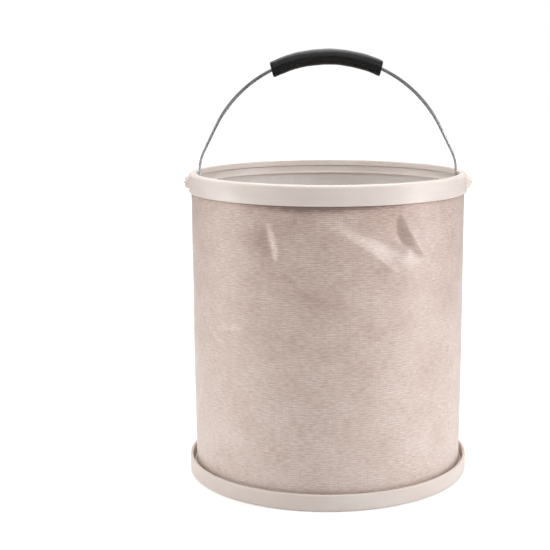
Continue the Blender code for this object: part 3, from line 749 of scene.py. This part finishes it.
def bail_rod(steel):
    """The wire, bent along its centre line, with its two ends ground to a slight taper. It keeps
    the place along and round the wire for the die lines of its finish."""
    right = bail_line()
    line = right + [(-x, z) for x, z in reversed(right[:-1])]
    curve = bpy.data.curves.new("bail_rod", "CURVE")
    curve.dimensions, curve.bevel_depth, curve.bevel_resolution = "3D", WIRE_R, 6
    curve.use_fill_caps = True
    path = curve.splines.new("POLY")
    path.points.add(len(line) - 1)
    for point, (x, z) in zip(path.points, line):
        point.co = (x, 0, z + PIVOT, 1)
    end_taper = 0.72
    for end in (0, -1):
        path.points[end].radius = end_taper
    rod = bpy.data.objects.new("bail_rod", curve)
    bpy.context.scene.collection.objects.link(rod)
    take_up(rod)
    bpy.ops.object.convert(target="MESH")
    rod = bpy.context.object
    bpy.ops.object.mode_set(mode="EDIT")
    tidy_skin()
    along = rod.data.attributes.new("along_wire", "FLOAT_VECTOR", "POINT")
    for vertex in rod.data.vertices:
        x, y, z = vertex.co.x, vertex.co.y, vertex.co.z - ARCH_CENTRE
        run = math.atan2(x, z) * ARCH_R
        girth = math.atan2(y, math.hypot(x, z) - ARCH_R)
        along.data[vertex.index].vector = (run, girth, 0)
    hand_over(rod, "bail", "steel_wire", steel, replaces=["bail_wire"])


def foam_grip(black):
    """A foam tube slid on the arch: an annulus spun about the arc's centre, its ends softened.
    Its outer side stretches less than the arc asks, so that the ends stand steeper than square."""
    half = GRIP_LENGTH / 2 / ARCH_R
    middle = GRIP_SHIFT / ARCH_R
    start = middle - half
    edge, bore_r = 0.0008, WIRE_R + 0.0004
    clear_bench()
    bpy.ops.mesh.primitive_circle_add(vertices=72, radius=GRIP_R, fill_type="NGON",
                                      location=(ARCH_R * math.sin(start), 0,
                                                ARCH_CENTRE + ARCH_R * math.cos(start)),
                                      rotation=(0, math.pi / 2 + start, 0))
    bpy.ops.object.transform_apply()
    grip = bpy.context.object
    grip.name = grip.data.name = "foam_grip"
    bpy.ops.object.mode_set(mode="EDIT")
    bpy.ops.mesh.select_mode(type="FACE")
    bpy.ops.mesh.select_all(action="SELECT")
    bpy.ops.mesh.inset(thickness=edge, depth=0)
    bpy.ops.mesh.inset(thickness=GRIP_R - edge - bore_r, depth=0)
    bpy.ops.mesh.delete(type="FACE")
    bpy.ops.mesh.select_all(action="SELECT")
    bpy.ops.mesh.spin(steps=84, angle=-2 * half, center=(0, 0, ARCH_CENTRE), axis=(0, 1, 0))
    tidy_skin()
    # The ends are rounded off, and the skin has faint dents some 33 mm and 15 mm long.
    phases = np.random.default_rng(5).uniform(0, 2 * math.pi, 3)
    for vertex in grip.data.vertices:
        x, y, z = vertex.co.x, vertex.co.y, vertex.co.z - ARCH_CENTRE
        reach = math.hypot(x, z)
        turn = math.atan2(x, z) - middle
        run = turn * ARCH_R
        girth = math.atan2(y, reach - ARCH_R)
        out = math.hypot(y, reach - ARCH_R)
        scale = 1.0
        if out > GRIP_R - 0.0002:
            to_end = GRIP_LENGTH / 2 - abs(run)
            rounding = 0.0007 * max(0.0, 1 - to_end / 0.0014) ** 2
            dents = 0.00010 * (1 + math.sin(190 * run + phases[0] + 1.3 * math.sin(girth + phases[1])))
            dents += 0.00006 * (1 + math.sin(430 * run + phases[2] + 2 * girth))
            scale = (out - rounding - dents) / out
        turn = middle + turn * (1 - GRIP_SHEAR * (reach - ARCH_R) / ARCH_R)
        reach = ARCH_R + (reach - ARCH_R) * scale
        vertex.co = (reach * math.sin(turn), y * scale, ARCH_CENTRE + reach * math.cos(turn))
    hand_over(grip, "bail", "foam", black, replaces=["bail_grip"], smooth_below=40)


# Stage, lights and camera

def stage():
    """A white floor just under the base, and white air all round."""
    clear_bench()
    bpy.ops.mesh.primitive_plane_add(size=14, location=(0, 0, -0.0002))
    ground = bpy.context.object
    ground.name = ground.data.name = "studio_floor"
    white, tree, shader = finish_named("studio_white")
    fill(tree, shader, {"Base Color": srgb("#f4f3f2"), "Roughness": 0.9})
    # The glow that the camera sees grows away from the object, so that no horizon shows and the
    # object's own shadow stays.
    rays = add_node(tree, "ShaderNodeLightPath")["Is Camera Ray"]
    here = add_node(tree, "ShaderNodeTexCoord")["Object"]
    away = add_node(tree, "ShaderNodeVectorMath", [here], operation="LENGTH")["Value"]
    strength = add_node(tree, "ShaderNodeMapRange", [away, 0.25, 2.0, 0.35, 1.02])["Result"]
    glow = add_node(tree, "ShaderNodeEmission", {"Strength": strength})[0]
    both = add_node(tree, "ShaderNodeAddShader", [shader.outputs[0], glow])[0]
    choice = add_node(tree, "ShaderNodeMixShader", [rays, shader.outputs[0], both])[0]
    fill(tree, tree.nodes["Material Output"], {"Surface": choice})
    ground.data.materials.append(white)

    world = bpy.data.worlds.new("studio_air")
    bpy.context.scene.world = world
    world.use_nodes = True
    tree = world.node_tree
    tree.nodes.clear()
    # The air is white to the eye, and dimmer where it lights or is mirrored in the pieces.
    rays = add_node(tree, "ShaderNodeLightPath")
    straight = [rays["Is Camera Ray"], rays["Is Transmission Ray"]]
    seen = add_node(tree, "ShaderNodeMath", straight, operation="MAXIMUM")[0]
    strength = add_node(tree, "ShaderNodeMapRange", [seen, 0, 1, 0.15, 1.0])["Result"]
    mirrored = [rays["Is Glossy Ray"], 0.25, strength]
    strength = add_node(tree, "ShaderNodeMath", mirrored, operation="MULTIPLY_ADD")[0]
    air = add_node(tree, "ShaderNodeBackground", {"Color": srgb("#ffffff"), "Strength": strength})[0]
    add_node(tree, "ShaderNodeOutputWorld", {"Surface": air})


def softbox(name, place, aim, size, watts, tint):
    """An even rectangular lamp at a place, turned towards its aim."""
    lamp = bpy.data.lights.new(name, "AREA")
    lamp.shape, lamp.size, lamp.size_y, lamp.energy = "RECTANGLE", size[0], size[1], watts
    lamp.color = srgb(tint)[:3]
    box = bpy.data.objects.new(name, lamp)
    bpy.context.scene.collection.objects.link(box)
    box.location = place
    way = [a - p for a, p in zip(aim, place)]
    box.rotation_euler = Vector(way).to_track_quat("-Z", "Y").to_euler()


def lights():
    """A white room: a window at each side, a broad ceiling, a high lamp behind the bucket and
    one in front, and a small lamp straight above that fills the inside."""
    middle, rim = (0, 0, 0.15), (0, 0, 0.25)
    softbox("right_window", (1.24, -0.36, 0.42), middle, (0.50, 0.75), 8.2, "#f8f7f9")
    softbox("left_window", (-1.28, -0.10, 0.42), middle, (0.50, 0.75), 6.0, "#fcfaf8")
    softbox("ceiling", (0, 0.25, 1.60), middle, (1.8, 1.8), 6.4, "#fff9f4")
    softbox("back_lamp", (0, 0.70, 1.20), rim, (1.0, 0.6), 7.4, "#ffffff")
    softbox("top_lamp", (0, 0, 1.30), middle, (0.50, 0.50), 4.0, "#ffffff")
    softbox("front_lamp", (0, -1.00, 1.10), rim, (1.2, 0.5), 4.5, "#ffffff")


def camera():
    """The eye of the photograph, with the place, tilt and lens fitted to it."""
    tilt_down = 12.089
    view = bpy.data.cameras.new("front_view")
    view.lens, view.sensor_width = 79.52, 36
    view.shift_x, view.shift_y = -0.0961, 0.0703
    eye = bpy.data.objects.new("front_view", view)
    bpy.context.scene.collection.objects.link(eye)
    eye.location = (0, -1.1432, 0.3949)
    eye.rotation_euler = (math.radians(90 - tilt_down), 0, 0)
    bpy.context.scene.camera = eye


def main():
    """Mixes the finishes, makes the pieces and sets the stage."""
    bpy.context.scene.view_settings.view_transform = "Standard"
    ivory = moulded_ivory()
    # The lowest stops show mostly in the painted shade under the rim.
    outside = canvas("coated_canvas_outside", sheen=0.35, roughness=0.50, relief_depth=0.55,
                     stops=[(0.04, "#80685e"), (0.24, "#b99d91"), (0.42, "#d7c1b6"), (0.60, "#f0e2d9")])
    inside = canvas("coated_canvas_inside", sheen=0.20, roughness=0.48, relief_depth=0.30,
                    stops=[(0.24, "#eee7e3"), (0.42, "#f5f1ee"), (0.60, "#faf7f5")])
    # The floor's lining is a darker copy of the inside's: painted shade against the strong light from
    # above.
    shaded_floor_lining = canvas("coated_canvas_floor", sheen=0.12, roughness=0.50, relief_depth=0.30,
                        stops=[(0.24, "#b0a6a0"), (0.42, "#c5bcb6"), (0.60, "#d5cdc8")])
    white = piping()
    rim_ring(ivory)
    hoop("rim_hoop", RIM_HOOP[0].z, RIM_HOOP[1].z, False, ivory, "rim", "rim_clamp_hoop")
    base_ring(ivory)
    hoop("base_hoop", BASE_HOOP[0].z, BASE_HOOP[1].z, True, ivory, "base", "base_clamp_hoop")
    wall_cloth(outside, inside)
    floor_cloth(outside, shaded_floor_lining)
    for node in ("rim_hem_bead", "base_hem_bead"):
        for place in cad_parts[node].material_slots:
            place.material = white
    bail_rod(bright_wire())
    foam_grip(foam())
    stage()
    lights()
    camera()


main()
clear_bench()
